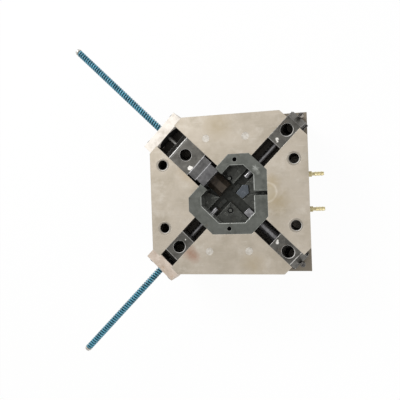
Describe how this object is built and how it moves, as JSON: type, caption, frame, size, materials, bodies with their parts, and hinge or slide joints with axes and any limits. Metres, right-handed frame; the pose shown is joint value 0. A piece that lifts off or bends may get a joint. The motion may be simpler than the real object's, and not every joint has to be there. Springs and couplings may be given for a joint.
{
  "type": "injection mould half",
  "caption": "Moving half of an injection mould with diagonal core slides, long return springs, octagonal cavity insert and an ejector box.",
  "frame": {"origin": "centre of the ejector-rod hole at the clamp plate's outer face", "axes": "+Z out of the parting face; +X to the side with the hose nipples; +Y towards the upper edge"},
  "size_m": [0.6542, 0.8344, 0.27],
  "materials": {
    "plate_steel": "ground mould plate steel with storage stains",
    "cavity_steel": "hardened cavity steel",
    "slide_steel": "hardened slide steel, ground",
    "core_steel": "polished core steel",
    "bright_steel": "bright mild steel",
    "hardened_steel": "ground hardened steel",
    "screw_steel": "zinc-plated screw steel",
    "brass": "turned brass",
    "blue_spring_steel": "blue-green lacquered spring steel",
    "yellow_spring_steel": "yellow lacquered spring steel"
  },
  "bodies": {
    "mould": {"bottom_clamp_plate": "plate_steel", "bracket_screws_bl": "screw_steel", "bracket_screws_tl": "screw_steel", "cavity_base": "cavity_steel", "cavity_frame": "cavity_steel", "clamp_screws": "screw_steel", "core_block_bottom": "cavity_steel", "core_block_left": "cavity_steel", "core_block_right": "cavity_steel", "core_block_top": "cavity_steel", "core_plate": "plate_steel", "ejector_leader_pins": "hardened_steel", "eye_core_pins": "hardened_steel", "frame_screws": "screw_steel", "gate_insert": "cavity_steel", "guide_bushes": "hardened_steel", "hose_nipples": "brass", "return_springs": "yellow_spring_steel", "slide_spring_bl": "blue_spring_steel", "slide_spring_tl": "blue_spring_steel", "slide_stop_screws": "screw_steel", "spacer_block_left": "plate_steel", "spacer_block_right": "plate_steel", "spring_bracket_bl": "bright_steel", "spring_bracket_tl": "bright_steel", "stop_buttons": "hardened_steel", "support_pillars": "hardened_steel", "support_plate": "plate_steel", "water_plug": "brass"},
    "slide_tl_unit": {"slide_tl": "slide_steel", "slide_tl_insert": "slide_steel", "slide_tl_nose": "core_steel", "slide_tl_core": "core_steel", "pull_rod_tl": "hardened_steel", "spring_washer_tl": "bright_steel"},
    "slide_tr_unit": {"slide_tr": "slide_steel", "slide_tr_core": "core_steel"},
    "slide_br_unit": {"slide_br": "slide_steel", "slide_br_core": "core_steel"},
    "slide_bl_unit": {"slide_bl": "slide_steel", "slide_bl_core": "core_steel", "pull_rod_bl": "hardened_steel", "spring_washer_bl": "bright_steel"},
    "ejector": {"ejector_plate": "plate_steel", "ejector_retainer_plate": "plate_steel", "return_pins": "hardened_steel", "ejector_pins": "hardened_steel", "runner_ejector_pin": "hardened_steel", "ejector_guide_bushes": "hardened_steel", "ejector_plate_screws": "screw_steel"}
  },
  "joints": [
    {"name": "slide_tl_travel", "type": "slide", "parent": "mould", "child": "slide_tl_unit", "axis": [-0.7071, 0.7071, 0], "range_m": [0, 0.0245], "deforming": ["slide_spring_tl"]},
    {"name": "slide_tr_travel", "type": "slide", "parent": "mould", "child": "slide_tr_unit", "axis": [-0.7071, -0.7071, 0], "range_m": [0, 0.0585]},
    {"name": "slide_br_travel", "type": "slide", "parent": "mould", "child": "slide_br_unit", "axis": [-0.7071, 0.7071, 0], "range_m": [0, 0.0495]},
    {"name": "slide_bl_travel", "type": "slide", "parent": "mould", "child": "slide_bl_unit", "axis": [0.7071, 0.7071, 0], "range_m": [0, 0.048], "deforming": ["slide_spring_bl"]},
    {"name": "ejector_stroke", "type": "slide", "parent": "mould", "child": "ejector", "axis": [0, 0, 1], "range_m": [0, 0.035], "deforming": ["return_springs"]}
  ]
}
